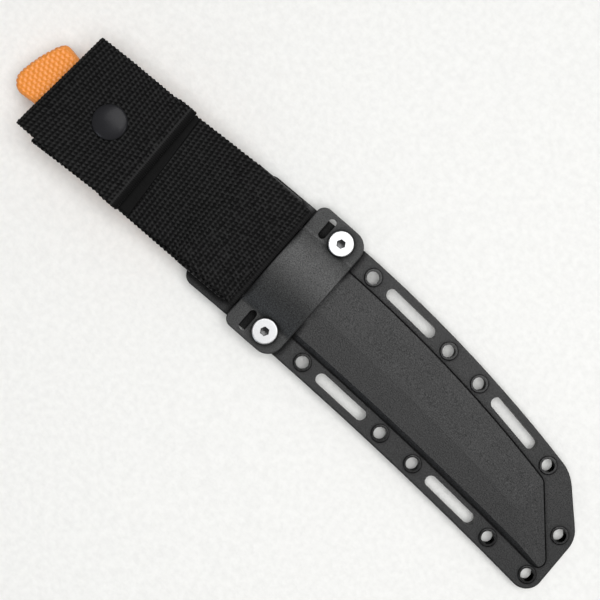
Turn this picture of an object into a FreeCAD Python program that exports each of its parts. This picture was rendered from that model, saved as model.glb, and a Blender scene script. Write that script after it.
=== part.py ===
import FreeCAD, Part
import math
import os
from FreeCAD import Placement, Rotation, Vector

# Fixed-blade rigging knife in a two-shell moulded sheath with a webbing hanger.
# Millimetres. +X runs towards the sheath's tip, +Y towards the cutting edge, +Z up to
# the hanger side. The sheath lies on its front shell and the origin is at the bottom
# centre of the whole object's box.

# ---- Driving dimensions: blade -------------------------------------------------------
MID_Z = 9.0                # height of the blade's middle plane
BLADE_ROOT_X = -32.0       # where the blade leaves the guard
BLADE_HALF = 2.5           # half the stock's thickness
BLADE_EDGE_HALF = 0.2      # half the thickness left at the cutting edge
SPINE_EASE = 0.3           # broken corner along the spine
EDGE_CURVE_X = -9.5        # the edge is straight up to here and then bends
EDGE_Y = 17.6
EDGE_R = 638.0
SPINE_CURVE_X = -39.0      # the spine bends gently from here on
SPINE_Y = -12.5
SPINE_R = 1899.0
TIP_LINE_ANGLE = 41.5      # direction that the slanted tip faces, from +X
TIP_LINE_DIST = 95.8       # its distance from the origin
TIP_RIDGE_X = 126.0        # where the bevel's ridge meets the tip's facet
RIDGE_SHARE = 0.6          # the bevel takes this share of the blade's width
TANG_X = -140.0
TANG_Y = (-3.0, 9.0)

# ---- Driving dimensions: handle ------------------------------------------------------
CORE_X = -144.5
CORE_Y = (-6.5, 12.5)
CORE_HALF = 4.6
GUARD_X = (-46.8, -32.0)
GUARD_Y = (-18.6, 27.2)
GUARD_HALF = 6.0
GUARD_ROUND = 2.5
GRIP_HALF = 9.0
GRIP_EDGE_SIDE = ((-46.8, 15.5), (-66.0, 13.2), (-92.0, 17.0), (-119.0, 15.4), (-144.9, 18.0))
GRIP_SPINE_SIDE = ((-152.9, -11.8), (-112.0, -10.6), (-78.0, -12.6), (-46.8, -11.5))
GRIP_BUTT = (-150.4, 5.4)  # middle of the bowed butt
GRIP_BUTT_ROUNDS = (4.0, 6.5)
GRIP_RIM_ROUND = 3.6
GRIP_THICKNESS = ((-160.0, 8.0), (-96.0, 9.0), (-68.0, 8.7), (-54.0, 6.1), (-40.0, 6.1))

# ---- Driving dimensions: sheath shells -----------------------------------------------
FLANGE_T = 3.2             # each shell's flange
FLANGE_GROW = 14.05        # the flange reaches this far outside the blade
FLANGE_MOUTH_X = -45.5
FLANGE_END_X = 153.5
FLANGE_TIP_CORNER_X = 133.7
FLANGE_END_CORNER_Y = -4.55
MOUTH_ROUND = 5.0
TIP_ROUNDS = (18.0, 12.0, 7.6)
RIM_EASE = 0.7
BULGE_GROW = 2.8           # the raised blade box, outside the blade
BULGE_HALF = 5.0
BULGE_EDGE_HALF = 3.9
BULGE_SLOPE = 2.0
BULGE_ROUNDS = (5.0, 3.2)
GROOVE_WIDTH = 0.7         # groove in the flange round the box's foot
GROOVE_DEPTH = 0.6
CAVITY_GROW = 0.5
CAVITY_GAP = 0.4
THROAT_X = (-50.5, -27.0)
THROAT_RAMP_X = -15.0
THROAT_Y = (-22.75, 30.8)
THROAT_HALF = 8.7
THROAT_ROUND = 2.6
THROAT_BORE_Y = (-19.1, 27.7)
THROAT_BORE_HALF = 6.4

# ---- Driving dimensions: holes along the flange --------------------------------------
HOLE_INSET = 5.9           # from the flange's edge to the holes' centres
EYELET_X = (17.0, 61.3, 80.0, 124.3)
TIP_EYELETS = ((147.0, -7.6), (147.0, -29.1))
EYELET_BORE_R = 2.8
EYELET_R = 3.2
EYELET_RIM_R = 3.9
EYELET_RIM_T = 0.45
EYELET_ROLL = 0.36         # rounding of the rolled rim
SLOT_X = (39.0, 102.0)
SLOT_LENGTH = 27.5
SLOT_WIDTH = 5.2

# ---- Driving dimensions: hanger plate and screws -------------------------------------
PLATE_X = (-19.9, 6.8)
PLATE_Y = 2.8              # centre of the plate and of the screw pair
PLATE_HALF_Y = 32.4
PLATE_T = 2.6
PLATE_ROUNDS = (4.2, 7.5)  # corners towards the handle, and towards the tip
PLATE_EASE = 0.6
PLATE_SKEW = -1.2          # degrees that the clamped plate sits askew
PLATE_GAP = 0.12
ARCH_R = 36.0
ARCH_FOOT_R = 3.0
ARCH_FOOT_Y = 20.8
PLATE_SLOT = (-11.6, 25.4, 10.0, 3.5)   # x, distance from PLATE_Y, length, width
SCREW_X = -3.1
SCREW_SPACING = 48.6
SCREW_HEAD_R = 5.5
SCREW_HEAD_T = 1.6
SCREW_HEAD_EASE = 0.5
SCREW_R = 1.6
SOCKET_ACROSS = 3.6
SOCKET_DEPTH = 1.2
SOCKET_CONE = 0.5          # further depth of the drill point below the hexagon
POST_R = 2.5
POST_BORE_R = 1.7
POST_HEAD_T = 1.5
SEAT_R = 5.9

# ---- Driving dimensions: webbing hanger ----------------------------------------------
WEB_T = 1.7
WEB_WIDTH = 50.6
WEB_Y = 3.6                # centre line of the webbing
WEB_Z = 18.4               # underside of the back layer
SWING_X = -21.2            # line beside the plate where the hanger bends
STITCH_END_X = -49.5       # the two layers are sewn together up to here
LOOP_RAMP = 10.5
LOOP_GAP = 5.0
LOOP_END_X = -128.9
LOOP_HEM = 10.6
FOLD_X = -135.5            # outermost line of the top fold
FOLD_GAP = 0.3
FLAP_LIFT = 2.4
FLAP_END_X = -82.1
FLAP_HEM = 5.0
STRAP_END_X = (-20.9, 3.0)
STRAP_END_HALF_Y = 14.0

# ---- Driving dimensions: snap fastener -----------------------------------------------
SNAP_X = -107.0
SNAP_Y = 3.8
CAP_R = 7.4
CAP_RIM = 0.4
CAP_DOME = 1.9
CAP_SHAFT_R = 2.0
SNAP_SOCKET_R = 6.0
SNAP_BORE_R = 3.3
SNAP_WEB_T = 0.55
SNAP_CLEARANCE = 0.6
STUD_FLANGE_R = 4.5
STUD_FLANGE_T = 0.3
STUD_R = 2.8
STUD_TOP = 1.5             # stud's top above the belt-loop layer
SNAP_POST_R = 1.7
SNAP_POST_HEAD_R = 5.5
SNAP_POST_HEAD_T = 0.7

LOFT_X = (10.0, 50.0, 90.0, 128.0)  # cross-sections between the blade's root and its far end
FAR_X = 165.0              # past the tip, where the blade's curves are still apart
TIP_CORNERS_X = 116.0      # the tip's corners lie past this
REACH = 400.0              # larger than the object, for cutting bodies
OVERRUN = 1.0              # how far cutting bodies run past what they cut
CORNER_NEAR = 0.3          # a corner is found within this distance
TOLERANCE = 1e-6
ALIGNED = 0.9              # share of a unit vector that makes an edge or a face count as aligned
UP = Vector(0, 0, 1)


# ---- Small tools ---------------------------------------------------------------------
def box(x, y, z):
    """Box between pairs of limits."""
    return Part.makeBox(x[1] - x[0], y[1] - y[0], z[1] - z[0], Vector(x[0], y[0], z[0]))


def cylinder(x, y, z, radius):
    """Upright cylinder between two heights."""
    return Part.makeCylinder(radius, z[1] - z[0], Vector(x, y, z[0]), UP)


def half_space(point, normal):
    """Large body on the side of a plane that its normal points to."""
    body = Part.makeBox(REACH, REACH, REACH, Vector(-REACH / 2, -REACH / 2, 0))
    body.Placement = Placement(point, Rotation(UP, normal))
    return body


def round_uprights(shape, corners):
    """Fillet the upright edges that stand at the given (x, y, radius) corners."""
    for x, y, radius in corners:
        edges = [edge for edge in shape.Edges if is_upright_at(edge, x, y)]
        shape = shape.makeFillet(radius, edges)
    return shape


def is_upright(edge):
    low, high = edge.Vertexes[0].Point, edge.Vertexes[-1].Point
    return math.hypot(low.x - high.x, low.y - high.y) < TOLERANCE


def is_upright_at(edge, x, y):
    foot = edge.Vertexes[0].Point
    return is_upright(edge) and math.hypot(foot.x - x, foot.y - y) < CORNER_NEAR


def along_x(shape):
    """Edges that run along the X axis."""
    return [edge for edge in shape.Edges if abs(edge.tangentAt(edge.FirstParameter).x) > ALIGNED]


def is_rim(edge, half):
    """Edge that lies in the plane at height half or -half."""
    bounds = edge.BoundBox
    return bounds.ZLength < TOLERANCE and abs(abs(bounds.ZMin) - half) < TOLERANCE


def is_upward(face):
    """Face that looks up rather than sideways or down."""
    u_low, u_high, v_low, v_high = face.ParameterRange
    return face.normalAt((u_low + u_high) / 2, (v_low + v_high) / 2).z > 1 - ALIGNED


def outer_edges(faces):
    """Edges that only one of the given faces has."""
    edges = [edge for face in faces for edge in face.Edges]
    return [edge for edge in edges if sum(edge.isSame(other) for other in edges) == 1]


def slot_body(x, y, z, length, width, angle):
    """Round-ended slot, turned by an angle in degrees about its centre."""
    reach = (length - width) / 2
    body = box((x - reach, x + reach), (y - width / 2, y + width / 2), z)
    for end in (x - reach, x + reach):
        body = body.fuse(cylinder(end, y, z, width / 2))
    body.rotate(Vector(x, y, 0), UP, angle)
    return body.removeSplitter()


def polygon_prism(points, lift):
    """Prism over a closed outline of points."""
    return Part.Face(Part.makePolygon(points + points[:1])).extrude(lift)


# ---- Blade shape ---------------------------------------------------------------------
def edge_y(x, grow):
    """Cutting edge's line, moved outwards by grow."""
    past = max(0.0, x - EDGE_CURVE_X)
    radius = EDGE_R + grow
    return EDGE_Y + grow - radius + math.sqrt(radius ** 2 - past ** 2)


def spine_y(x, grow):
    """Spine's line, moved outwards by grow."""
    past = max(0.0, x - SPINE_CURVE_X)
    radius = SPINE_R - grow
    return SPINE_Y - grow - radius + math.sqrt(radius ** 2 - past ** 2)


def ridge_y(x):
    """Ridge between the blade's flat and its bevel."""
    return edge_y(x, 0) - RIDGE_SHARE * (edge_y(x, 0) - spine_y(x, 0))


def curve_arc(line, start_x, end_x, grow):
    """Arc along one of the blade's lines."""
    xs = (start_x, (start_x + end_x) / 2, end_x)
    return Part.Arc(*[Vector(x, line(x, grow), 0) for x in xs]).toShape()


def blade_strip(grow, root_x, end_x):
    """Face between the spine's and the edge's lines."""
    edge_start = max(root_x, EDGE_CURVE_X)
    spine_start = max(root_x, SPINE_CURVE_X)
    root = [Vector(spine_start, spine_y(spine_start, grow), 0), Vector(root_x, spine_y(root_x, grow), 0),
            Vector(root_x, edge_y(root_x, grow), 0), Vector(edge_start, edge_y(edge_start, grow), 0)]
    lines = [Part.makeLine(a, b) for a, b in zip(root, root[1:]) if a.distanceToPoint(b) > TOLERANCE]
    end = Part.makeLine(Vector(end_x, edge_y(end_x, grow), 0), Vector(end_x, spine_y(end_x, grow), 0))
    arcs = [curve_arc(edge_y, edge_start, end_x, grow), end, curve_arc(spine_y, end_x, spine_start, grow)]
    return Part.Face(Part.Wire(Part.__sortEdges__(lines + arcs)))


def tip_direction():
    angle = math.radians(TIP_LINE_ANGLE)
    return Vector(math.cos(angle), math.sin(angle), 0)


def blade_outline(grow, root_x, half, rounds):
    """Upright prism of the blade's outline, grown, with the slanted tip cut."""
    prism = blade_strip(grow, root_x, FAR_X).extrude(Vector(0, 0, 2 * half))
    prism.translate(Vector(0, 0, -half))
    face = tip_direction()
    prism = prism.cut(half_space(face * (TIP_LINE_DIST + grow), face))
    if rounds:
        corners = [edge.Vertexes[0].Point for edge in prism.Edges if is_upright(edge)]
        corners = sorted([corner for corner in corners if corner.x > TIP_CORNERS_X], key=lambda c: c.x)
        prism = round_uprights(prism, [(c.x, c.y, radius) for c, radius in zip(corners, rounds)])
    return prism


def blade_section(x, grow, spine_half, flat_half, edge_half, slope):
    """Cross-section: spine wall, slope, flat, bevel, and the same below."""
    spine = spine_y(x, grow)
    edge = edge_y(x, grow)
    ridge = ridge_y(x)
    fall = (flat_half - edge_half) / (edge - ridge)
    upper = [(spine - OVERRUN, spine_half), (spine, spine_half), (spine + slope, flat_half),
             (ridge, flat_half), (edge + OVERRUN / 2, edge_half - fall * OVERRUN / 2)]
    lower = [(y, -z) for y, z in reversed(upper)]
    points = [Vector(x, y, z) for y, z in upper + lower]
    return Part.makePolygon(points + points[:1])


def blade_form(grow, root_x, spine_half, flat_half, edge_half, slope, rounds=None):
    """Blade-shaped body round the middle plane z = 0: the blade, its box or its cavity."""
    stations = (root_x - OVERRUN,) + LOFT_X + (FAR_X + OVERRUN,)
    sizes = (grow, spine_half, flat_half, edge_half, slope)
    loft = Part.makeLoft([blade_section(x, *sizes) for x in stations], True, False)
    body = loft.common(blade_outline(grow, root_x, 2 * flat_half, rounds))
    face = tip_direction()
    ridge = Vector(TIP_RIDGE_X, ridge_y(TIP_RIDGE_X), 0)
    fall = (flat_half - edge_half) / (TIP_LINE_DIST + grow - ridge.dot(face))
    for side in (1, -1):
        normal = face * fall + UP * side
        body = body.cut(half_space(ridge + UP * side * flat_half, normal))
    return body


# ---- Knife ---------------------------------------------------------------------------
def at_mid(shape):
    """Lift a body built round z = 0 to the blade's middle plane."""
    shape.translate(Vector(0, 0, MID_Z))
    return shape


def tang():
    return box((TANG_X, BLADE_ROOT_X), TANG_Y, (-BLADE_HALF, BLADE_HALF))


def blade():
    body = blade_form(0, BLADE_ROOT_X, BLADE_HALF - SPINE_EASE, BLADE_HALF, BLADE_EDGE_HALF, SPINE_EASE)
    return at_mid(body.fuse(tang()).removeSplitter())


def core_body():
    guard = box(GUARD_X, GUARD_Y, (-GUARD_HALF, GUARD_HALF))
    guard = guard.makeFillet(GUARD_ROUND, along_x(guard))
    bar = box((CORE_X, GUARD_X[0] + OVERRUN), CORE_Y, (-CORE_HALF, CORE_HALF))
    return guard.fuse(bar)


def handle_core():
    return at_mid(core_body().cut(tang()).removeSplitter())


def spline(points):
    curve = Part.BSplineCurve()
    curve.interpolate([Vector(x, y, 0) for x, y in points])
    return curve.toShape()


def grip():
    """Soft grip with a bowed butt, thinner at the neck that enters the sheath."""
    ends = (GRIP_EDGE_SIDE[-1], GRIP_BUTT, GRIP_SPINE_SIDE[0])
    butt = Part.Arc(*[Vector(x, y, 0) for x, y in ends]).toShape()
    neck = Part.makeLine(Vector(*GRIP_SPINE_SIDE[-1], 0), Vector(*GRIP_EDGE_SIDE[0], 0))
    outline = Part.Wire([spline(GRIP_EDGE_SIDE), butt, spline(GRIP_SPINE_SIDE), neck])
    body = Part.Face(outline).extrude(Vector(0, 0, 2 * GRIP_HALF))
    body.translate(Vector(0, 0, -GRIP_HALF))
    corners = (GRIP_EDGE_SIDE[-1], GRIP_SPINE_SIDE[0])
    body = round_uprights(body, [corner + (radius,) for corner, radius in zip(corners, GRIP_BUTT_ROUNDS)])
    rims = [edge for edge in body.Edges if is_rim(edge, GRIP_HALF)]
    rims = [edge for edge in rims if edge.BoundBox.XMin < GUARD_X[0] - OVERRUN]
    body = body.makeFillet(GRIP_RIM_ROUND, rims)
    profile = [Vector(x, -REACH / 4, z) for x, z in GRIP_THICKNESS]
    profile += [Vector(x, -REACH / 4, -z) for x, z in reversed(GRIP_THICKNESS)]
    body = body.common(polygon_prism(profile, Vector(0, REACH / 2, 0)))
    return at_mid(body.cut(core_body()))


# ---- Sheath shells -------------------------------------------------------------------
def flange():
    """Flat rim round the blade's box, both shells together."""
    grow = FLANGE_GROW
    corner_x = FLANGE_TIP_CORNER_X
    mouth_low = Vector(FLANGE_MOUTH_X, spine_y(FLANGE_MOUTH_X, grow), 0)
    mouth_high = Vector(FLANGE_MOUTH_X, edge_y(FLANGE_MOUTH_X, grow), 0)
    edge_start = Vector(EDGE_CURVE_X, edge_y(EDGE_CURVE_X, grow), 0)
    spine_start = Vector(SPINE_CURVE_X, spine_y(SPINE_CURVE_X, grow), 0)
    tip_corner = Vector(corner_x, edge_y(corner_x, grow), 0)
    end_high = Vector(FLANGE_END_X, FLANGE_END_CORNER_Y, 0)
    end_low = Vector(FLANGE_END_X, spine_y(FLANGE_END_X, grow), 0)
    edges = [Part.makeLine(spine_start, mouth_low), Part.makeLine(mouth_low, mouth_high),
             Part.makeLine(mouth_high, edge_start), curve_arc(edge_y, EDGE_CURVE_X, corner_x, grow),
             Part.makeLine(tip_corner, end_high), Part.makeLine(end_high, end_low),
             curve_arc(spine_y, FLANGE_END_X, SPINE_CURVE_X, grow)]
    body = Part.Face(Part.Wire(edges)).extrude(Vector(0, 0, 2 * FLANGE_T))
    body.translate(Vector(0, 0, -FLANGE_T))
    corners = [(mouth_low.x, mouth_low.y, MOUTH_ROUND), (mouth_high.x, mouth_high.y, MOUTH_ROUND)]
    for corner, radius in zip((tip_corner, end_high, end_low), TIP_ROUNDS):
        corners.append((corner.x, corner.y, radius))
    body = round_uprights(body, corners)
    return body.makeFillet(RIM_EASE, [edge for edge in body.Edges if is_rim(edge, FLANGE_T)])


def throat(grow):
    """Thick mouth that takes the guard, and its ramp down to the blade's box."""
    across = (THROAT_Y[0] - grow, THROAT_Y[1] + grow)
    half = THROAT_HALF + grow
    block = box(THROAT_X, across, (-half, half))
    block = block.makeFillet(THROAT_ROUND, along_x(block))
    wide = rectangle(THROAT_X[1], across, half, THROAT_ROUND)
    reach = BULGE_GROW + grow
    bulge_y = (spine_y(THROAT_RAMP_X, reach), edge_y(THROAT_RAMP_X, reach))
    narrow = rectangle(THROAT_RAMP_X, bulge_y, BULGE_HALF + grow, THROAT_ROUND)
    return block.fuse(Part.makeLoft([wide, narrow], True, True))


def rectangle(x, y, half, ease):
    """Cross-section with eased corners, across the X axis."""
    corners = [(y[0], -half + ease), (y[0], half - ease), (y[0] + ease, half), (y[1] - ease, half),
               (y[1], half - ease), (y[1], -half + ease), (y[1] - ease, -half), (y[0] + ease, -half)]
    points = [Vector(x, across, up) for across, up in corners]
    return Part.makePolygon(points + points[:1])


def blade_box(grow, half):
    """Raised box over the blade; its spine side slopes down to the flange."""
    return blade_form(grow, THROAT_X[1], FLANGE_T, half, half - BULGE_HALF + BULGE_EDGE_HALF,
                      BULGE_SLOPE, BULGE_ROUNDS)


def foot_groove():
    """Groove in both faces of the flange, round the foot of the blade's box."""
    rounds = [radius + GROOVE_WIDTH for radius in BULGE_ROUNDS]
    foot = blade_outline(BULGE_GROW + GROOVE_WIDTH, THROAT_X[1], THROAT_HALF, rounds)
    depth = FLANGE_T - GROOVE_DEPTH
    return foot.cut(box((-REACH, REACH), (-REACH, REACH), (-depth, depth)))


def cavity():
    """Room inside the shells for the blade and the guard."""
    room = blade_form(CAVITY_GROW, BLADE_ROOT_X, BLADE_HALF + CAVITY_GAP - SPINE_EASE,
                      BLADE_HALF + CAVITY_GAP, BLADE_EDGE_HALF + CAVITY_GROW, SPINE_EASE)
    bore = box((THROAT_X[0] - OVERRUN, BLADE_ROOT_X + CAVITY_GROW), THROAT_BORE_Y,
               (-THROAT_BORE_HALF, THROAT_BORE_HALF))
    return room.fuse(bore)


def eyelet_places():
    """Centres of the eyelets, by name."""
    places = {}
    for number, x in enumerate(EYELET_X, 1):
        places["eyelet_edge_%d" % number] = (x, edge_y(x, FLANGE_GROW) - HOLE_INSET)
        places["eyelet_spine_%d" % number] = (x, spine_y(x, FLANGE_GROW) + HOLE_INSET)
    places["eyelet_tip_1"], places["eyelet_tip_2"] = TIP_EYELETS
    return places


def slot_places():
    """Centre and angle of each lashing slot."""
    places = []
    for x in SLOT_X:
        for line, inset in ((edge_y, -HOLE_INSET), (spine_y, HOLE_INSET)):
            rise = line(x + 1, FLANGE_GROW) - line(x - 1, FLANGE_GROW)
            places.append((x, line(x, FLANGE_GROW) + inset, math.degrees(math.atan2(rise, 2))))
    return places


def sheath_body():
    """Both shells as one body round the middle plane, with every hole."""
    rim = flange().cut(foot_groove())
    body = rim.fuse([blade_box(BULGE_GROW, BULGE_HALF), throat(0)]).cut(cavity())
    through = (-THROAT_HALF, THROAT_HALF)
    holes = [slot_body(x, y, through, SLOT_LENGTH, SLOT_WIDTH, angle) for x, y, angle in slot_places()]
    holes += [cylinder(x, y, through, EYELET_R) for x, y in eyelet_places().values()]
    holes += [cylinder(x, y, through, POST_R) for x, y in screw_places()]
    return body.cut(holes)


def shell(side):
    """Back shell (side 1) or front shell (side -1)."""
    body = sheath_body().common(half_space(Vector(0, 0, 0), Vector(0, 0, side)))
    if side == 1:
        body = body.cut([askew(slot_channel(end)) for end in (-1, 1)])
    return at_mid(body)


def eyelet(x, y):
    """Hollow rivet with a rolled rim on each face."""
    body = cylinder(x, y, (-FLANGE_T, FLANGE_T), EYELET_R)
    for side in (-1, 1):
        low, high = sorted((side * FLANGE_T, side * (FLANGE_T + EYELET_RIM_T)))
        rim = cylinder(x, y, (low, high), EYELET_RIM_R)
        outer = [edge for edge in rim.Edges if is_rim(edge, FLANGE_T + EYELET_RIM_T)]
        body = body.fuse(rim.makeFillet(EYELET_ROLL, outer))
    reach = FLANGE_T + OVERRUN
    return at_mid(body.cut(cylinder(x, y, (-reach, reach), EYELET_BORE_R)).removeSplitter())


# ---- Hanger plate and its screws -----------------------------------------------------
def askew(shape):
    """Turn a clamped piece with the plate."""
    shape.rotate(Vector(SCREW_X, PLATE_Y, 0), UP, PLATE_SKEW)
    return shape


def screw_places():
    angle = math.radians(PLATE_SKEW)
    reach = SCREW_SPACING / 2
    return [(SCREW_X - side * reach * math.sin(angle), PLATE_Y + side * reach * math.cos(angle))
            for side in (1, -1)]


def plate_slot(side):
    """Lashing slot through an ear of the plate."""
    x, offset, length, width = PLATE_SLOT
    return slot_body(x, PLATE_Y + side * offset, (0, REACH / 4), length, width, 90.0)


def slot_channel(side):
    """Channel in the back shell from under a plate slot out past the flange's edge."""
    x, offset, length, width = PLATE_SLOT
    y = PLATE_Y + side * (offset + length / 2)
    return slot_body(x, y, (-OVERRUN, THROAT_HALF), 2 * length, width, 90.0)


def arch_centre():
    """Heights of the crown arc's and the foot arcs' centres."""
    foot = MID_Z + FLANGE_T + PLATE_T + ARCH_FOOT_R
    reach = ARCH_R + ARCH_FOOT_R
    return foot - math.sqrt(reach ** 2 - ARCH_FOOT_Y ** 2), foot


def arch_line(drop):
    """Edges of the plate's upper line, or of its lower line when drop is the thickness."""
    crown, foot = arch_centre()
    reach = ARCH_R + ARCH_FOOT_R
    lean = math.asin(ARCH_FOOT_Y / reach)
    radius = ARCH_FOOT_R + drop
    height = foot - radius
    points = []
    for side in (-1, 1):
        centre = Vector(0, PLATE_Y + side * ARCH_FOOT_Y, foot)
        start = centre + Vector(0, 0, -radius)
        middle = centre + Vector(0, -side * math.sin(lean / 2), -math.cos(lean / 2)) * radius
        end = centre + Vector(0, -side * math.sin(lean), -math.cos(lean)) * radius
        points.append((Vector(0, PLATE_Y + side * PLATE_HALF_Y, height), start, middle, end))
    left, right = points
    top = Vector(0, PLATE_Y, crown + ARCH_R - drop)
    return [Part.makeLine(left[0], left[1]), Part.Arc(left[1], left[2], left[3]).toShape(),
            Part.Arc(left[3], top, right[3]).toShape(), Part.Arc(right[3], right[2], right[1]).toShape(),
            Part.makeLine(right[1], right[0])]


def hanger_plate():
    upper = arch_line(0)
    lower = arch_line(PLATE_T)
    sides = [Part.makeLine(upper[0].Vertexes[0].Point, lower[0].Vertexes[0].Point),
             Part.makeLine(upper[-1].Vertexes[-1].Point, lower[-1].Vertexes[-1].Point)]
    section = Part.Face(Part.Wire(Part.__sortEdges__(upper + lower + sides)))
    body = section.extrude(Vector(PLATE_X[1] - PLATE_X[0], 0, 0))
    body.translate(Vector(PLATE_X[0], 0, 0))
    low, high = PLATE_Y - PLATE_HALF_Y, PLATE_Y + PLATE_HALF_Y
    plan = box(PLATE_X, (low, high), (0, REACH / 4))
    for x, radius in zip(PLATE_X, PLATE_ROUNDS):
        plan = round_uprights(plan, [(x, low, radius), (x, high, radius)])
    body = body.common(plan)
    body = body.makeFillet(PLATE_EASE, outer_edges([face for face in body.Faces if is_upward(face)]))
    for side in (-1, 1):
        body = body.cut(plate_slot(side))
        screw_y = PLATE_Y + side * SCREW_SPACING / 2
        body = body.cut(cylinder(SCREW_X, screw_y, (0, REACH / 4), POST_R))
        body = body.cut(cylinder(SCREW_X, screw_y, (screw_seat(), REACH / 4), SEAT_R))
    room = [blade_box(BULGE_GROW + PLATE_GAP, BULGE_HALF + PLATE_GAP), throat(PLATE_GAP)]
    return askew(body).cut([at_mid(shape) for shape in room])


def screw_seat():
    """Height of the ears' upper face, where the screw heads sit."""
    return MID_Z + FLANGE_T + PLATE_T


def screw(x, y):
    """Flat-headed socket screw."""
    seat = screw_seat()
    head = cylinder(x, y, (seat, seat + SCREW_HEAD_T), SCREW_HEAD_R)
    top = [edge for edge in head.Edges if is_rim(edge, seat + SCREW_HEAD_T)]
    head = head.makeFillet(SCREW_HEAD_EASE, top)
    shank = cylinder(x, y, (MID_Z - FLANGE_T + OVERRUN, seat), SCREW_R)
    return head.fuse(shank).removeSplitter().cut(socket(x, y, seat + SCREW_HEAD_T - SOCKET_DEPTH))


def socket(x, y, floor):
    """Hexagon hole with the drill's point under it."""
    corner_r = SOCKET_ACROSS / math.sqrt(3)
    turns = [math.tau * n / 6 for n in range(6)]
    corners = [Vector(x + corner_r * math.cos(turn), y + corner_r * math.sin(turn), floor) for turn in turns]
    hexagon = polygon_prism(corners, Vector(0, 0, SOCKET_DEPTH + OVERRUN))
    point = Part.makeCone(0, SOCKET_ACROSS / 2, SOCKET_CONE, Vector(x, y, floor - SOCKET_CONE), UP)
    return hexagon.fuse(point)


def post(x, y):
    """Barrel nut that the screw goes into, with its head on the front shell."""
    low = MID_Z - FLANGE_T
    head = cylinder(x, y, (low - POST_HEAD_T, low), SCREW_HEAD_R)
    bottom = [edge for edge in head.Edges if is_rim(edge, low - POST_HEAD_T)]
    head = head.makeFillet(SCREW_HEAD_EASE, bottom)
    barrel = cylinder(x, y, (low, screw_seat()), POST_R)
    bore = cylinder(x, y, (low, screw_seat() + OVERRUN), POST_BORE_R)
    return head.fuse(barrel).cut(bore).removeSplitter()


# ---- Webbing -------------------------------------------------------------------------
def web_y():
    return (WEB_Y - WEB_WIDTH / 2, WEB_Y + WEB_WIDTH / 2)


def loop_z():
    """Underside of the belt-loop layer where it stands open."""
    return WEB_Z + WEB_T + LOOP_GAP


def flap_z():
    """Underside of the flap."""
    return loop_z() + WEB_T + FLAP_LIFT


def web_fold(side):
    """Lower (side -1) or upper (side 1) quarter of the top fold."""
    low, high = WEB_Z, flap_z() + WEB_T
    radius = (high - low) / 2
    centre = Vector(FOLD_X + radius, web_y()[0], (low + high) / 2)
    ring = Part.makeCylinder(radius, WEB_WIDTH, centre, Vector(0, 1, 0))
    ring = ring.cut(Part.makeCylinder(radius - WEB_T, WEB_WIDTH, centre, Vector(0, 1, 0)))
    limits = sorted((centre.z + side * FOLD_GAP / 2, centre.z + side * 2 * radius))
    return ring.common(box((FOLD_X - OVERRUN, centre.x), web_y(), limits))


def fold_centre_x():
    return FOLD_X + (flap_z() + WEB_T - WEB_Z) / 2


def hanger_strap():
    """Back layer, from beside the plate up to the middle of the top fold."""
    flat = box((fold_centre_x(), SWING_X), web_y(), (WEB_Z, WEB_Z + WEB_T))
    return flat.fuse(web_fold(-1)).removeSplitter()


def loop_strap():
    """Belt-loop layer: sewn to the back layer, then standing off it up to its hem."""
    sewn = WEB_Z + WEB_T
    ramp_x = STITCH_END_X - LOOP_RAMP
    hem_x = LOOP_END_X + LOOP_HEM
    line = [(SWING_X, sewn), (SWING_X, sewn + WEB_T), (STITCH_END_X, sewn + WEB_T),
            (ramp_x, loop_z() + WEB_T), (LOOP_END_X, loop_z() + WEB_T), (LOOP_END_X, loop_z() - WEB_T),
            (hem_x, loop_z() - WEB_T), (hem_x, loop_z()), (ramp_x, loop_z()), (STITCH_END_X, sewn)]
    points = [Vector(x, web_y()[0], z) for x, z in line]
    body = polygon_prism(points, Vector(0, WEB_WIDTH, 0))
    return body.cut(cylinder(SNAP_X, SNAP_Y, (WEB_Z, flap_z()), SNAP_POST_R))


def flap_strap():
    """Closing flap with its hem, from the middle of the top fold."""
    flat = box((fold_centre_x(), FLAP_END_X), web_y(), (flap_z(), flap_z() + WEB_T))
    hem = box((FLAP_END_X - FLAP_HEM, FLAP_END_X), web_y(), (flap_z() - WEB_T, flap_z()))
    body = flat.fuse([hem, web_fold(1)]).removeSplitter()
    return body.cut(cylinder(SNAP_X, SNAP_Y, (loop_z(), REACH / 4), CAP_SHAFT_R))


def strap_end():
    """Folded end of the strap that the plate clamps on the blade's box."""
    crown, foot = arch_centre()
    radius = ARCH_R - PLATE_T - PLATE_GAP
    arch = Part.makeCylinder(radius, STRAP_END_X[1] - STRAP_END_X[0],
                             Vector(STRAP_END_X[0], PLATE_Y, crown), Vector(1, 0, 0))
    across = (PLATE_Y - STRAP_END_HALF_Y, PLATE_Y + STRAP_END_HALF_Y)
    body = box(STRAP_END_X, across, (MID_Z + BULGE_HALF + PLATE_GAP, foot + ARCH_R)).common(arch)
    return body.cut(at_mid(throat(0)))


# ---- Snap fastener -------------------------------------------------------------------
def snap_cap():
    """Cap on the flap, domed like a flattened ellipsoid, with its shaft."""
    top = flap_z() + WEB_T
    rim = cylinder(SNAP_X, SNAP_Y, (top, top + CAP_RIM), CAP_R)
    centre = Vector(SNAP_X, SNAP_Y, top + CAP_RIM)
    outer = centre + Vector(CAP_R, 0, 0)
    crown = centre + UP * CAP_DOME
    quarter = Part.Arc(Part.Ellipse(outer, crown, centre), 0, math.pi / 2).toShape()
    outline = Part.Wire([quarter, Part.makeLine(crown, centre), Part.makeLine(centre, outer)])
    dome = Part.Face(outline).revolve(centre, UP, 360)
    shaft = cylinder(SNAP_X, SNAP_Y, (flap_z() - SNAP_WEB_T, top), CAP_SHAFT_R)
    return rim.fuse([dome, shaft]).removeSplitter()


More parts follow.
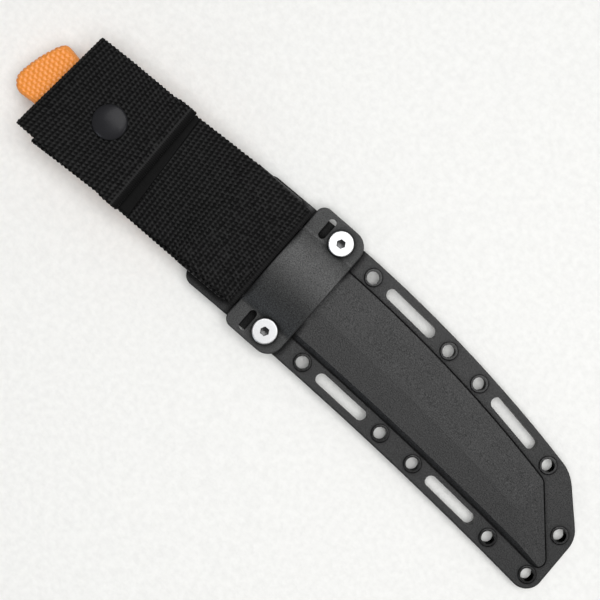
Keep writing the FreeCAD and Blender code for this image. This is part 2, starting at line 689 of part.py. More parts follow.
def snap_socket():
    """Ring under the flap that grips the stud."""
    body = cylinder(SNAP_X, SNAP_Y, (loop_z() + WEB_T + SNAP_CLEARANCE, flap_z()), SNAP_SOCKET_R)
    bore = cylinder(SNAP_X, SNAP_Y, (loop_z(), flap_z() - SNAP_WEB_T), SNAP_BORE_R)
    return body.cut([bore, cylinder(SNAP_X, SNAP_Y, (loop_z(), REACH / 4), CAP_SHAFT_R)])


def snap_stud():
    """Stud on the belt-loop layer."""
    base = loop_z() + WEB_T
    body = cylinder(SNAP_X, SNAP_Y, (base, base + STUD_FLANGE_T), STUD_FLANGE_R)
    body = body.fuse(cylinder(SNAP_X, SNAP_Y, (base, base + STUD_TOP), STUD_R))
    return body.cut(cylinder(SNAP_X, SNAP_Y, (base, flap_z()), SNAP_POST_R)).removeSplitter()


def snap_post():
    """Flat-headed post that holds the stud from inside the belt loop."""
    low = loop_z() - SNAP_POST_HEAD_T
    body = cylinder(SNAP_X, SNAP_Y, (low, loop_z()), SNAP_POST_HEAD_R)
    shaft = cylinder(SNAP_X, SNAP_Y, (low, loop_z() + WEB_T + STUD_TOP - STUD_FLANGE_T), SNAP_POST_R)
    return body.fuse(shaft).removeSplitter()


# ---- Every node ----------------------------------------------------------------------
def nodes():
    parts = {"blade": blade(), "handle_core": handle_core(), "grip": grip(),
             "back_shell": shell(1), "front_shell": shell(-1), "hanger_plate": hanger_plate(),
             "strap_end": strap_end(), "hanger_strap": hanger_strap(), "loop_strap": loop_strap(),
             "flap_strap": flap_strap(), "snap_cap": snap_cap(), "snap_socket": snap_socket(),
             "snap_stud": snap_stud(), "snap_post": snap_post()}
    for name, (x, y) in eyelet_places().items():
        parts[name] = eyelet(x, y)
    for side, (x, y) in zip(("edge", "spine"), screw_places()):
        parts[side + "_screw"] = screw(x, y)
        parts[side + "_barrel_nut"] = post(x, y)
    return parts


os.makedirs("parts", exist_ok=True)
for name, shape in nodes().items():
    bounds = shape.BoundBox
    print("%-16s solids %d valid %s  x %.2f %.2f  y %.2f %.2f  z %.2f %.2f" % (
        name, len(shape.Solids), shape.isValid(), bounds.XMin, bounds.XMax,
        bounds.YMin, bounds.YMax, bounds.ZMin, bounds.ZMax))
    shape.exportStep("parts/%s.step" % name)
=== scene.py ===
import math
from dataclasses import dataclass, fields

import bpy
import numpy as np
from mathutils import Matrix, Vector


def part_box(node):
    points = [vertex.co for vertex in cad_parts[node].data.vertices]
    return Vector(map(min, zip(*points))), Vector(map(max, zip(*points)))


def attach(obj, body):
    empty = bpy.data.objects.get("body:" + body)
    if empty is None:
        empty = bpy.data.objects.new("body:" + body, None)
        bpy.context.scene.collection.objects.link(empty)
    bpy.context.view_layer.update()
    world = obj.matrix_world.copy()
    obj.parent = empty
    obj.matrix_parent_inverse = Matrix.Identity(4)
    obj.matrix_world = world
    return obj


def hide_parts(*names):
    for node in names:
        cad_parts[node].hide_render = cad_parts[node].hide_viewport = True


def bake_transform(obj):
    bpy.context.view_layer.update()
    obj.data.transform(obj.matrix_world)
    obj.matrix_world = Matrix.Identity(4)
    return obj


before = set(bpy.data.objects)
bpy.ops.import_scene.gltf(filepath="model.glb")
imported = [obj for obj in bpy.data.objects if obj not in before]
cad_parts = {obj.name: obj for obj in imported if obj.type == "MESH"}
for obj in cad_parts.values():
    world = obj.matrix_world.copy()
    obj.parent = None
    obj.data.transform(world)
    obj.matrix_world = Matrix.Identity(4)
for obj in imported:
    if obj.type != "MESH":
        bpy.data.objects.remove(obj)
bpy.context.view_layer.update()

# Looks of a sheathed rigging knife: woven webbing hanger, dotted rubber grip, moulded
# shells, steel screws, snap fastener. Metres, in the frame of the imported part.
MM = 0.001

# ---- Sizes read from the frame -------------------------------------------------------
BACK_LOW, BACK_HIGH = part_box("hanger_strap")
LOOP_LOW, LOOP_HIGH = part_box("loop_strap")
FLAP_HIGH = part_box("flap_strap")[1]
END_LOW, END_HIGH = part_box("strap_end")
PLATE_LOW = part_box("hanger_plate")[0]
WEB_T = LOOP_LOW.z - BACK_LOW.z
WEB_Y = (BACK_LOW.y + BACK_HIGH.y) / 2
WEB_HALF_Y = (BACK_HIGH.y - BACK_LOW.y) / 2
BACK_Z = BACK_LOW.z + WEB_T / 2
SEWN_Z = LOOP_LOW.z + WEB_T / 2
LOOP_Z = LOOP_HIGH.z - WEB_T / 2
FLAP_Z = FLAP_HIGH.z - WEB_T / 2
FOLD_R = (FLAP_Z - BACK_Z) / 2
FOLD_X = BACK_LOW.x + WEB_T / 2

# ---- Weave ---------------------------------------------------------------------------
COLUMN = 2.05 * MM          # from one row of bumps to the next, along the strap
YARN = 0.85 * MM            # from one warp yarn to the next, across the strap
RELIEF = 0.34 * MM          # how far the yarns rise and fall
STEPS_ALONG = 4             # mesh steps per column
STEPS_ACROSS = 3            # mesh steps per yarn
LEAD = 0.25                 # a yarn dives more steeply at one end of each bump
ROWS = 0.80                 # share of the relief that follows whole rows
EDGE_ROUND = 0.8 * MM
SCALLOP = 0.22 * MM         # bumps of the woven edge
WANDER = 0.16 * MM          # slow wandering of the yarns
WANDER_ALONG = 9.7 * MM     # the waves of that wandering, each a wavelength over 2 pi
WANDER_ACROSS = 7.1 * MM
WANDER_DRIFT = (31 * MM, 17 * MM)
WANDER_BEND = 0.9           # how far the slower wave shifts the faster one, in radians
UNEVEN = 0.12               # how much the bumps differ from each other
FUZZ = 0.10                 # roughness of the fibres, as a share of the relief
WEAVE_RANGE = (-1.2, 1)     # heights are held between these shares of the relief
RIB_RISE = 0.35             # half the height of a rib, as a share of the relief
RIB_SINK = 0.15             # how far the ribs' middle lies under the weave's
END_BLUNT = 0.95            # the strap's ends are rounded this far, short of a sharp edge
SEED = 4
HEIGHT = "yarn_height"      # mesh attribute: how high each point stands in the weave, -1 to 1; the webbing's painted shade follows it
ARC_STEPS = 16


# ---- Small tools ---------------------------------------------------------------------
def mesh_piece(name, points, faces, material, body=None):
    """Smooth-shaded mesh object; rides on a body if one is named."""
    mesh = bpy.data.meshes.new(name)
    mesh.from_pydata(points, [], faces)
    mesh.shade_smooth()
    mesh.materials.append(material)
    piece = bpy.data.objects.new(name, mesh)
    bpy.context.scene.collection.objects.link(piece)
    if body:
        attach(piece, body)
    return piece


def unit(vector):
    return vector / np.linalg.norm(vector)


def line_through(corners, step):
    """Evenly spaced (x, z) points on straight runs joined by tangent arcs.

    Each corner is (x, z, radius)."""
    points = [np.array(corners[0][:2])]
    for before, here, after in zip(corners, corners[1:], corners[2:]):
        corner = np.array(here[:2])
        into = unit(corner - np.array(before[:2]))
        out = unit(np.array(after[:2]) - corner)
        turn = math.atan2(into[0] * out[1] - into[1] * out[0], into.dot(out))
        start = corner - into * here[2] * math.tan(abs(turn) / 2)
        side = math.copysign(1.0, turn)
        centre = start + side * here[2] * np.array([-into[1], into[0]])
        spoke = start - centre
        for angle in np.linspace(0, turn, ARC_STEPS):
            cos, sin = math.cos(angle), math.sin(angle)
            turned = [spoke[0] * cos - spoke[1] * sin, spoke[0] * sin + spoke[1] * cos]
            points.append(centre + np.array(turned))
    points.append(np.array(corners[-1][:2]))
    points = np.array(points)
    along = np.concatenate([[0], np.cumsum(np.hypot(*np.diff(points, axis=0).T))])
    at = np.linspace(0, along[-1], int(round(along[-1] / step)) + 1)
    return at, np.column_stack([np.interp(at, along, points[:, axis]) for axis in (0, 1)])


def fade(values, start, end):
    """Smooth step from 0 at start to 1 at end."""
    share = np.clip((values - start) / (end - start), 0, 1)
    return share * share * (3 - 2 * share)


def loft_rings(rings, around):
    """Quads between neighbouring closed rings of points, numbered ring by ring."""
    faces = []
    for ring in range(rings - 1):
        low = ring * around
        for k in range(around):
            following = (k + 1) % around
            faces.append((low + k, low + following, low + around + following, low + around + k))
    return faces


def end_cap(first, across, flip):
    """Faces that close one end of a ribbon, whose ring starts at vertex number first."""
    around = 2 * across - 2
    top = [first + j for j in range(across)]
    bottom = [first] + [first + around - j for j in range(1, across - 1)] + [first + across - 1]
    faces = []
    for j in range(across - 1):
        corners = [top[j], top[j + 1], bottom[j + 1], bottom[j]]
        unique = list(dict.fromkeys(corners))
        faces.append(tuple(reversed(unique)) if flip else tuple(unique))
    return faces


# ---- Webbing -------------------------------------------------------------------------
@dataclass
class Lay:
    """How a strap lies at the points of its line; each value is a number or an array."""
    centre: object              # y of the strap's middle
    half_width: object
    half_t: object = WEB_T / 2
    relief: object = RELIEF
    slant: object = 0.0         # how far a column leans along the strap per metre across
    uneven: object = UNEVEN
    ribs: object = 0.0          # share of the bumps that turns into ribs along the strap
    ridge: object = 0.0         # raised row across the strap, 0 to 1


def woven(u, v, uneven, ribs, ridge, seed):
    """Height of the weave over a grid of places along and across, about -1 to 1."""
    random = np.random.default_rng(seed)
    u_wave = u + WANDER * np.sin(v / WANDER_ACROSS + WANDER_BEND * np.sin(u / WANDER_DRIFT[0]))
    v_wave = v + WANDER * np.sin(u / WANDER_ALONG + v / WANDER_DRIFT[1])
    stagger = np.cos(math.pi * (u_wave / COLUMN - LEAD)) * np.cos(math.pi * v_wave / YARN)
    rows = ROWS * np.cos(2 * math.pi * u_wave / COLUMN)
    bumps = (stagger + rows) / (math.cos(math.pi * LEAD) + ROWS)
    column = np.round(u_wave / COLUMN).astype(int)
    yarn = np.round((v_wave - v_wave.min()) / YARN).astype(int)
    differ = random.normal(size=(column.max() + 2, yarn.max() + 2))[column, yarn]
    bumps = bumps + uneven * differ + FUZZ * random.normal(size=u.shape)
    rib = RIB_RISE * np.cos(2 * math.pi * v / YARN) - RIB_SINK
    return bumps * (1 - ribs) + rib * ribs + ridge


def ribbon(name, corners, material, shape):
    """Woven strap along a line of corners.

    The function shape takes the line's (x, z) points and gives a Lay."""
    at, line = line_through(corners, COLUMN / STEPS_ALONG)
    lay = shape(line)
    values = (getattr(lay, field.name) for field in fields(Lay))
    columns = [np.broadcast_to(value, at.shape)[:, None] for value in values]
    centre, half_width, half_t, relief, slant, uneven, ribs, ridge = columns
    tangent = np.gradient(line, axis=0)
    tangent /= np.linalg.norm(tangent, axis=1)[:, None]
    normal = np.column_stack([-tangent[:, 1], tangent[:, 0]])
    yarns = int(round(2 * WEB_HALF_Y / YARN))
    across = yarns * STEPS_ACROSS + 1
    v = np.linspace(-WEB_HALF_Y, WEB_HALF_Y, across)
    u_grid, v_grid = np.meshgrid(at, v, indexing="ij")
    weave = woven(u_grid, v_grid, uneven, ribs, ridge, SEED)
    edge = np.clip((np.abs(v_grid) - WEB_HALF_Y + EDGE_ROUND) / EDGE_ROUND, 0, 1)
    ends = np.clip(1 - np.minimum(u_grid, at[-1] - u_grid) / EDGE_ROUND, 0, END_BLUNT)
    rounding = np.sqrt(1 - edge ** 2) * np.sqrt(1 - ends ** 2)
    mean = half_t - relief
    rise = relief * np.clip(weave, *WEAVE_RANGE)
    scallop = SCALLOP * np.cos(2 * math.pi * u_grid / COLUMN) * (relief > 0)
    y = centre + v_grid / WEB_HALF_Y * (half_width - SCALLOP + scallop)
    lean = slant * v_grid

    def surface(side):
        offset = side * rounding * (mean + side * rise)
        x = line[:, :1] + normal[:, :1] * offset + lean
        z = line[:, 1:] + normal[:, 1:] * offset
        return np.stack([x, y, z], axis=2)

    top = surface(1)
    bottom = surface(-1)
    rings = np.concatenate([top, bottom[:, -2:0:-1]], axis=1)
    around = rings.shape[1]
    faces = loft_rings(len(at), around)
    faces += end_cap(0, across, False) + end_cap((len(at) - 1) * around, across, True)
    piece = mesh_piece(name, rings.reshape(-1, 3).tolist(), faces, material)
    # Heights for the painted shade in the hollows of the weave.
    shade = weave * np.where(relief > 0, 1.0, 0.0)
    heights = np.concatenate([shade, -shade[:, -2:0:-1]], axis=1)
    attribute = piece.data.attributes.new(HEIGHT, "FLOAT", "POINT")
    attribute.data.foreach_set("value", heights.astype(np.float32).ravel())
    return piece


FOLD_SLANT = 0.095          # the top fold runs askew by this slope
FOLD_NARROWS = 0.35 * MM    # half the width that the strap loses at its top fold
FOLD_REACH = 20 * MM        # the length over which it narrows
FLAP_SHIFT = 0.2 * MM       # the flap lies this far towards +Y
FLAP_WIDER = 0.1 * MM
BACK_LEAN = 1.2 * MM        # the back layer drifts this far towards -Y at its hidden end
HEM = 3.3 * MM              # rolled edge at the flap's end, from its stitched ridge
HEM_RIDGE = 0.50 * MM       # half width of the hem's two ridges
HEM_RISE = 1.2              # height of the ridges and depth between them, as shares of the relief
HEM_SINK = 0.5
HEM_EDGE = 0.6 * MM         # the bumps turn into ribs over this length
HEM_FLATTER = 0.6           # share of the relief that the hem loses
HEM_TURNED = 5 * MM         # the hem's turned-in layer, from the flap's end
HEM_WIDER = 0.7 * MM        # half the width that it gains where the seam holds it
SEAM_REACH = (9 * MM, 4 * MM)   # the seam's effect grows between these distances from the hem
SEAM_UNEVEN = 0.6           # how much more uneven the bumps are there
TAPE_SHOWS = 3.6 * MM       # tape on the loop layer past the hem, at its middle
TAPE_HIDDEN = 6 * MM        # and under the flap
TAPE_SLANT = -0.055         # the tape is wider at the strap's -Y side
TAPE_LIFT = 0.22 * MM       # from the loop layer to the tape's middle
TAPE_HALF_T = 0.2 * MM
TAPE_NARROWER = 0.5 * MM
SEWN_X = (-0.058, -0.048)   # the loop layer turns into the sewn layer between these
SEWN_WIDER = 0.3 * MM
SEWN_FLATTER = 0.25
SEWN_UNEVEN = 0.7
BEND_X = (-0.060, -0.0495)  # corners where the loop layer comes down to the sewn one
BEND_R = 12 * MM
LOOP_SLANT = -0.018         # slope of the loop layer's rows where it isn't sewn
LOOP_TURNED = 10 * MM       # the loop layer's turned-back end
PEEL_X = -0.050
PEEL_Y = (2.0 * MM, 5.0 * MM, 3.9 * MM)  # the layer's middle at its fold, at PEEL_X and at the plate
PLATE_SKEW = 0.021          # slope of the askew plate's edge, which the webbing follows
PLATE_CORNER = 4 * MM       # the edge starts this far in from the plate's -Y side
PLATE_EDGE_X = PLATE_LOW.x + PLATE_SKEW * (WEB_Y - PLATE_LOW.y - PLATE_CORNER)
NOSE_GAP = 0.15 * MM        # the strap turns up this far from the plate
NOSE_X = PLATE_EDGE_X - NOSE_GAP - WEB_T / 2
NOSE_R = 0.8 * MM
NOSE_BACK = 2.2 * MM        # from its front back to where the sewn layer starts
NOSE_FOOT = 1.2 * MM        # height of its lower bend over the clamped end
NOSE_WIDENS = 0.6 * MM      # the strap starts to widen this far over the clamped end
NOSE_CREST = 0.3 * MM       # it is smoothest from here to its front
NOSE_RELIEF = (0.75, 0.5)   # its share of the strap's relief, and how much less at its front
NOSE_RIBS = 0.8
END_Z = (END_LOW.z + END_HIGH.z) / 2


def flap_shape(line):
    x, z = line.T
    near_fold = 1 - fade(x, FOLD_X, FLAP_HIGH.x)
    upper = fade(z, BACK_Z, FLAP_Z)
    centre = WEB_Y + FLAP_SHIFT - BACK_LEAN * (1 - upper) * fade(x, FOLD_X, LOOP_HIGH.x)
    hem_x = FLAP_HIGH.x - HEM
    ribs = fade(x, hem_x - HEM_EDGE, hem_x) * upper
    # The ridges are raised rows; through the heights they also set the painted shade, full colour on them
    # and darker between.
    ridge_x = (hem_x, FLAP_HIGH.x - HEM_RIDGE)
    ridge = sum(np.exp(-((x - place) / HEM_RIDGE) ** 2) for place in ridge_x)
    ridge = (HEM_RISE * ridge - HEM_SINK * fade(x, hem_x, FLAP_HIGH.x)) * upper
    sewn = fade(x, hem_x - SEAM_REACH[0], hem_x - SEAM_REACH[1]) * upper
    narrower = FOLD_NARROWS * fade(x, FOLD_X + FOLD_REACH, FOLD_X)
    half_width = WEB_HALF_Y - narrower + FLAP_WIDER + HEM_WIDER * sewn
    return Lay(centre, half_width, relief=RELIEF * (1 - HEM_FLATTER * ribs), slant=FOLD_SLANT * near_fold,
               uneven=UNEVEN * (1 + SEAM_UNEVEN * sewn), ribs=ribs, ridge=ridge)


def loop_shape(line):
    x = line[:, 0]
    peel = np.interp(x, (LOOP_LOW.x, PEEL_X, LOOP_HIGH.x), PEEL_Y)
    sewn = fade(x, *SEWN_X)
    slant = LOOP_SLANT + (PLATE_SKEW - LOOP_SLANT) * sewn
    return Lay(peel, WEB_HALF_Y + SEWN_WIDER * sewn, relief=RELIEF * (1 - SEWN_FLATTER * sewn),
               slant=slant, uneven=UNEVEN * (1 + SEWN_UNEVEN * sewn))


def nose_shape(line):
    x, z = line.T
    wide = fade(z, END_Z + NOSE_WIDENS, BACK_Z)
    half_end = (END_HIGH.y - END_LOW.y) / 2
    half_width = half_end + (WEB_HALF_Y - half_end) * wide
    centre = (END_LOW.y + END_HIGH.y) / 2 * (1 - wide) + PEEL_Y[2] * wide
    # The smoother, lower front also comes out darker, a painted shade, through the heights.
    smooth = fade(x, NOSE_X - NOSE_BACK, NOSE_X - NOSE_CREST)
    return Lay(centre, half_width + SEWN_WIDER * wide,
               relief=RELIEF * (NOSE_RELIEF[0] - NOSE_RELIEF[1] * smooth),
               slant=PLATE_SKEW * wide, ribs=NOSE_RIBS * smooth)


def tape_shape(_line):
    return Lay(WEB_Y + FLAP_SHIFT, WEB_HALF_Y - TAPE_NARROWER, TAPE_HALF_T, 0.0, slant=TAPE_SLANT)


def webbing(material, tape):
    """The hanger's straps, the end that turns down under the plate, and the tape past the hem."""
    flap_end = FLAP_HIGH.x - WEB_T / 2
    hem_z = FLAP_Z - WEB_T
    flap = ribbon("hanger_webbing", [
        (LOOP_HIGH.x - 2 * WEB_T, BACK_Z, 0), (FOLD_X, BACK_Z, FOLD_R), (FOLD_X, FLAP_Z, FOLD_R),
        (flap_end, FLAP_Z, WEB_T / 2), (flap_end, hem_z, WEB_T / 2),
        (flap_end - HEM_TURNED, hem_z, 0)], material, flap_shape)
    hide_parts("hanger_strap", "flap_strap")
    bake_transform(flap)

    loop_end = LOOP_LOW.x + WEB_T / 2
    loop = ribbon("loop_webbing", [
        (NOSE_X - NOSE_BACK, SEWN_Z, 0), (BEND_X[1], SEWN_Z, BEND_R), (BEND_X[0], LOOP_Z, BEND_R),
        (loop_end, LOOP_Z, WEB_T / 2), (loop_end, LOOP_Z - WEB_T, WEB_T / 2),
        (loop_end + LOOP_TURNED, LOOP_Z - WEB_T, 0)], material, loop_shape)
    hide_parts("loop_strap")
    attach(loop, "hanger")

    nose = ribbon("strap_end_webbing", [
        (END_HIGH.x, END_Z, 0), (NOSE_X + 2 * NOSE_R, END_Z, NOSE_R), (NOSE_X, END_Z + NOSE_FOOT, NOSE_R),
        (NOSE_X, SEWN_Z, NOSE_R), (NOSE_X - NOSE_BACK, SEWN_Z, 0)], material, nose_shape)
    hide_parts("strap_end")
    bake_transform(nose)

    band_z = LOOP_HIGH.z + TAPE_LIFT
    band = ribbon("hem_tape", [
        (FLAP_HIGH.x - TAPE_HIDDEN, band_z, 0), (FLAP_HIGH.x + TAPE_SHOWS, band_z, 0)], tape, tape_shape)
    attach(band, "hanger")


# ---- Grip ----------------------------------------------------------------------------
DOT_PITCH = 2.3 * MM        # along the handle
DOT_ROWS = 1.93 * MM        # across it
DOT_R = 0.95 * MM
DOT_RISE = 0.45 * MM
DOT_STAGGER = 0.5           # every other row is shifted by this share of the pitch
DOT_BLUNT = 0.7             # below 1 the dots are flatter on top and steeper at the foot
FACE_TURN = (0.35, 0.75)    # the dots fade in as the surface turns up or down this far
BUTT_TURN = (0.45, 0.75)    # or towards the butt
REMESH = 0.4 * MM
RELAX = (0.5, 3)            # strength and rounds of smoothing after the remesh


def dots(x, y):
    """Height share of the nearest raised dot at each point, 0 to 1."""
    row = np.round(y / DOT_ROWS)
    shift = DOT_STAGGER * np.mod(row, 2)
    dx = (x / DOT_PITCH - shift - np.round(x / DOT_PITCH - shift)) * DOT_PITCH
    dy = y - row * DOT_ROWS
    far = np.hypot(dx, dy) / DOT_R
    return np.clip(1 - far ** 2, 0, 1) ** DOT_BLUNT


def dotted_grip(material):
    """Rubber grip with raised dots on both faces and the butt, and smooth sides."""
    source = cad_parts["grip"]
    piece = bpy.data.objects.new("dotted_grip", source.data.copy())
    bpy.context.scene.collection.objects.link(piece)
    remesh = piece.modifiers.new("even", "REMESH")
    remesh.mode = "VOXEL"
    remesh.voxel_size = REMESH
    relax = piece.modifiers.new("relax", "SMOOTH")
    relax.factor, relax.iterations = RELAX
    evaluated = piece.evaluated_get(bpy.context.evaluated_depsgraph_get())
    mesh = bpy.data.meshes.new_from_object(evaluated)
    piece.modifiers.clear()
    piece.data = mesh
    count = len(mesh.vertices)
    points = np.zeros(count * 3)
    normals = np.zeros(count * 3)
    mesh.vertices.foreach_get("co", points)
    mesh.vertices.foreach_get("normal", normals)
    points = points.reshape(-1, 3)
    normals = normals.reshape(-1, 3)
    facing = fade(np.abs(normals[:, 2]), *FACE_TURN)
    butt = fade(-normals[:, 0], *BUTT_TURN)
    relief = (dots(points[:, 0], points[:, 1]) - 1) * facing
    relief = relief + (dots(points[:, 2], points[:, 1]) - 1) * butt
    rise = DOT_RISE * np.maximum(relief, -1)
    mesh.vertices.foreach_set("co", (points + normals * rise[:, None]).ravel())
    mesh.shade_smooth()
    mesh.materials.clear()
    mesh.materials.append(material)
    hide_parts("grip")
    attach(piece, "knife")


# ---- Materials -----------------------------------------------------------------------
RECESS = 3.0 * MM           # how near a wall has to be for the painted shade in a groove or a hole
RECESS_POWER = 4.0
NOISE_SPAN = (0.3, 0.7)     # most of a noise lies between these
NOISE_DETAIL = 3
PATCH_GRAINS = 40           # a patch of one gloss is this many grains wide
GLOSS_SPREAD = 0.1          # how far the roughness varies, as a share
SPARKLE = (0.5, 1.5)        # how far the reflection varies, as shares
YARN_SPAN = (-0.25, 0.75)   # heights in the weave from the darkest painted shade to full colour
HOLLOW_SHADE_SHARE = 0.06            # share of the colour left by the painted shade in the hollows


def map_range(nodes, source, target):
    """Node that maps the pair of values in source to the pair in target, held between them."""
    node = nodes.new("ShaderNodeMapRange")
    for socket, value in zip(("From Min", "From Max", "To Min", "To Max"), (*source, *target)):
        node.inputs[socket].default_value = value
    return node


def finish_of(name, colour, rough, grain, depth, mottle, metallic=0.0, stretch=(1, 1, 1), shade=None,
              gleam=None, **sockets):
    """Surface with a grain: its colour and bump follow one noise, its roughness a wider one."""
    material = bpy.data.materials.new(name)
    material.use_nodes = True
    nodes, links = material.node_tree.nodes, material.node_tree.links
    shader = nodes["Principled BSDF"]
    place = nodes.new("ShaderNodeTexCoord")
    mapping = nodes.new("ShaderNodeMapping")
    noise = nodes.new("ShaderNodeTexNoise")
    patches = nodes.new("ShaderNodeTexNoise")
    tone = map_range(nodes, NOISE_SPAN, (0, 1))
    mix = nodes.new("ShaderNodeMix")
    gloss = map_range(nodes, (0, 1), (rough - GLOSS_SPREAD * rough, rough + GLOSS_SPREAD * rough))
    bump = nodes.new("ShaderNodeBump")
    mapping.inputs["Scale"].default_value = stretch
    noise.inputs["Scale"].default_value = 1 / grain
    noise.inputs["Detail"].default_value = NOISE_DETAIL
    patches.inputs["Scale"].default_value = 1 / (PATCH_GRAINS * grain)
    mix.data_type = "RGBA"
    mix.inputs["A"].default_value = [c * (1 - mottle) for c in colour] + [1]
    mix.inputs["B"].default_value = [c * (1 + mottle) for c in colour] + [1]
    bump.inputs["Distance"].default_value = depth
    bump.inputs["Strength"].default_value = 1.0
    shader.inputs["Metallic"].default_value = metallic
    for socket, value in sockets.items():
        shader.inputs[socket.replace("_", " ")].default_value = value
    links.new(place.outputs["Object"], mapping.inputs["Vector"])
    for texture in (noise, patches):
        links.new(mapping.outputs["Vector"], texture.inputs["Vector"])
    links.new(noise.outputs["Fac"], tone.inputs["Value"])
    links.new(tone.outputs["Result"], mix.inputs["Factor"])
    tint = mix.outputs["Result"]
    # Painted shade: the colour is scaled down where the shade function is low.
    if shade:
        darken = nodes.new("ShaderNodeVectorMath")
        darken.operation = "SCALE"
        links.new(tint, darken.inputs[0])
        links.new(shade(nodes, links), darken.inputs["Scale"])
        tint = darken.outputs["Vector"]
    links.new(tint, shader.inputs["Base Color"])
    if gleam:
        # The socket's own level is what is left where an export drops the link.
        shader.inputs["Specular IOR Level"].default_value = gleam
        # Painted shade: the reflection level is lowered in grooves and holes.
        link_gleam_with_painted_shade(nodes, links, noise.outputs["Fac"], shader.inputs["Specular IOR Level"], gleam)
    links.new(patches.outputs["Fac"], gloss.inputs["Value"])
    links.new(gloss.outputs["Result"], shader.inputs["Roughness"])
    links.new(noise.outputs["Fac"], bump.inputs["Height"])
    links.new(bump.outputs["Normal"], shader.inputs["Normal"])
    return material


def painted_hollow_shade(nodes, links):
    """Painted shade: low in the hollows between yarns, from the height that the mesh stores."""
    height = nodes.new("ShaderNodeAttribute")
    height.attribute_name = HEIGHT
    share = map_range(nodes, YARN_SPAN, (HOLLOW_SHADE_SHARE, 1))
    links.new(height.outputs["Fac"], share.inputs["Value"])
    return share.outputs["Result"]


def painted_recess_shade(nodes, links):
    """Painted shade: 1 on open surfaces, towards 0 in grooves and holes, from an ambient-occlusion node.
    """
    recess = nodes.new("ShaderNodeAmbientOcclusion")
    share = nodes.new("ShaderNodeMath")
    recess.inputs["Distance"].default_value = RECESS
    share.operation = "POWER"
    share.inputs[1].default_value = RECESS_POWER
    links.new(recess.outputs["AO"], share.inputs[0])
    return share.outputs["Value"]


def link_gleam_with_painted_shade(nodes, links, grain, target, level):
    """Reflection that sparkles with the grain and fades in grooves and holes, a painted shade."""
    sparkle = map_range(nodes, NOISE_SPAN, (SPARKLE[0] * level, SPARKLE[1] * level))
    product = nodes.new("ShaderNodeMath")
    product.operation = "MULTIPLY"
    links.new(grain, sparkle.inputs["Value"])
    links.new(sparkle.outputs["Result"], product.inputs[0])
    links.new(painted_recess_shade(nodes, links), product.inputs[1])
    links.new(product.outputs["Value"], target)


def paint(names, material):
    """Give the CAD nodes with these names a material."""
    for name in names:
        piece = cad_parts[name]
        if not piece.data.materials:
            piece.data.materials.append(material)
        for slot in piece.material_slots:
            slot.material = material


def paint_everything():
    """Finishes of the pieces that keep their CAD shape."""
    # The shell's and plate's reflection carries painted shade in grooves and holes.
    shell = finish_of("moulded_shell", (0.007, 0.007, 0.0071), rough=0.53, grain=0.45 * MM,
                      depth=0.06 * MM, mottle=0.8, gleam=0.40)
    plate = finish_of("plate_nylon", (0.011, 0.0114, 0.0113), rough=0.56, grain=0.45 * MM,
                      depth=0.04 * MM, mottle=0.5, gleam=0.5)
    # Eyelets and screws take painted shade in their bores and sockets.
    eyelet = finish_of("eyelet_black", (0.028, 0.028, 0.028), rough=0.25, grain=0.4 * MM,
                       depth=0.01 * MM, mottle=0.4, metallic=1.0, shade=painted_recess_shade,
                       Specular_Tint=(0.05, 0.05, 0.05, 1))
    screw = finish_of("screw_steel", (0.50, 0.503, 0.507), rough=0.38, grain=0.3 * MM,
                      depth=0.004 * MM, mottle=0.06, metallic=1.0, shade=painted_recess_shade)
    nickel = finish_of("snap_nickel", (0.55, 0.54, 0.52), rough=0.36, grain=0.3 * MM,
                       depth=0.002 * MM, mottle=0.06, metallic=1.0)
    snap = finish_of("snap_satin", (0.017, 0.017, 0.019), rough=0.28, grain=0.25 * MM,
                     depth=0.004 * MM, mottle=0.2, Specular_IOR_Level=0.10)
    steel = finish_of("blade_steel", (0.34, 0.34, 0.346), rough=0.38, grain=0.25 * MM,
                      depth=0.004 * MM, mottle=0.10, metallic=1.0, stretch=(0.05, 1, 1))
    core = finish_of("core_nylon", (0.014, 0.014, 0.014), rough=0.5, grain=0.5 * MM,
                     depth=0.02 * MM, mottle=0.3)
    paint(["back_shell", "front_shell"], shell)
    paint(["hanger_plate"], plate)
    paint([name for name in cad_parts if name.startswith("eyelet")], eyelet)
    paint(["edge_screw", "spine_screw", "edge_barrel_nut", "spine_barrel_nut"], screw)
    paint(["snap_stud", "snap_socket", "snap_post"], nickel)
    paint(["snap_cap"], snap)
    paint(["blade"], steel)
    paint(["handle_core"], core)


# ---- Studio --------------------------------------------------------------------------
CAMERA_HEIGHT = 0.632
CAMERA_TURN = math.radians(40)
CAMERA_LENS = 88.2
CAMERA_OFFSET = (-0.7 * MM, -1.9 * MM)
CLIP_START = 0.01
ROOM_LIGHT = 0.22
WHITE = (1, 1, 1)
PALE_BLUE = (0.80, 0.88, 1.0)
# Name, place, size, power, colour, and the switch for what the light leaves alone.
LIGHTS = (
    ("overhead", (0.12, 0.04, 1.30), 0.80, 17, WHITE, "visible_glossy"),
    ("panel", (0.0, 0.62, 1.14), 1.30, 25, WHITE, "visible_diffuse"),
    ("end_glint", (1.05, 0.38, 0.84), 0.45, 2.5, WHITE, "visible_diffuse"),
    ("window_glint", (-0.33, -1.22, 0.59), 0.40, 3.5, PALE_BLUE, "visible_diffuse"))
REST_X = (-0.027, 0.145)    # the throat and the tip, where the sheath touches the floor
REST_Z = (0.3 * MM, 4.0 * MM)
FLOOR_SIZE = 6.0


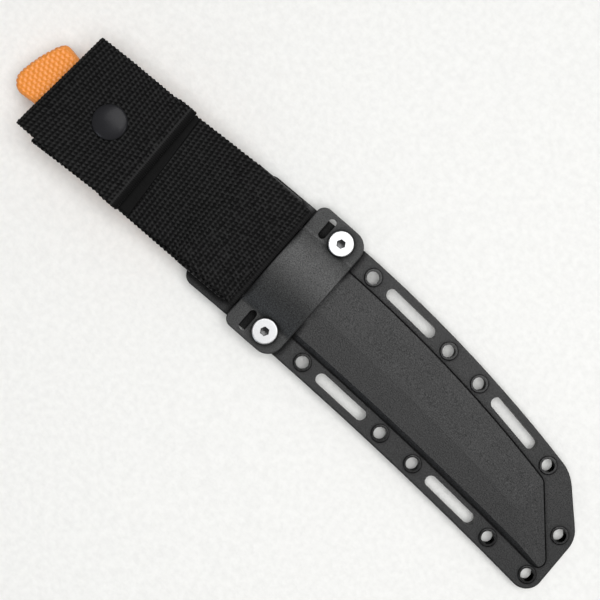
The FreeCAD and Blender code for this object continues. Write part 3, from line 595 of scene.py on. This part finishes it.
def studio():
    """Camera, room light, four soft lights and a plain plaster floor."""
    scene = bpy.context.scene
    scene.view_settings.view_transform = "Standard"
    data = bpy.data.cameras.new("camera")
    data.lens = CAMERA_LENS
    data.clip_start = CLIP_START
    camera = bpy.data.objects.new("camera", data)
    camera.location = (*CAMERA_OFFSET, CAMERA_HEIGHT)
    camera.rotation_euler = (0, 0, CAMERA_TURN)
    scene.collection.objects.link(camera)
    scene.camera = camera

    world = bpy.data.worlds.new("room")
    world.use_nodes = True
    background = world.node_tree.nodes["Background"]
    background.inputs["Color"].default_value = (*WHITE, 1)
    background.inputs["Strength"].default_value = ROOM_LIGHT
    scene.world = world

    for name, place, size, power, colour, left_alone in LIGHTS:
        light = area_light(name, place, size, power)
        light.data.color = colour
        setattr(light, left_alone, False)

    floor = finish_of("floor_plaster", (0.83, 0.83, 0.812), rough=0.8, grain=2.6 * MM,
                      depth=0.30 * MM, mottle=0.035)
    half = FLOOR_SIZE / 2
    slope = (REST_Z[1] - REST_Z[0]) / (REST_X[1] - REST_X[0])
    corners = [(x, y, REST_Z[0] + slope * (x - REST_X[0])) for x, y in
               ((-half, -half), (half, -half), (half, half), (-half, half))]
    mesh_piece("floor", corners, [(0, 1, 2, 3)], floor)


def area_light(name, place, size, power):
    """Square soft light aimed at the object."""
    data = bpy.data.lights.new(name, "AREA")
    data.size = size
    data.energy = power
    light = bpy.data.objects.new(name, data)
    light.location = place
    light.rotation_euler = (-Vector(place)).to_track_quat("-Z", "Y").to_euler()
    bpy.context.scene.collection.objects.link(light)
    return light


# The webbing's colour carries painted shade in the hollows of the weave.
WEBBING = finish_of("black_webbing", (0.0195, 0.0195, 0.0195), rough=0.7, grain=0.30 * MM,
                    depth=0.05 * MM, mottle=0.3, stretch=(0.3, 1, 1), shade=painted_hollow_shade,
                    Specular_IOR_Level=0.08)
TAPE = finish_of("sealed_tape", (0.003, 0.003, 0.003), rough=0.6, grain=0.3 * MM,
                 depth=0.02 * MM, mottle=0.3, stretch=(0.1, 1, 1), Specular_IOR_Level=0.06)
RUBBER = finish_of("grip_rubber", (0.78, 0.255, 0.028), rough=0.42, grain=0.5 * MM,
                   depth=0.02 * MM, mottle=0.08)

paint_everything()
webbing(WEBBING, TAPE)
dotted_grip(RUBBER)
studio()
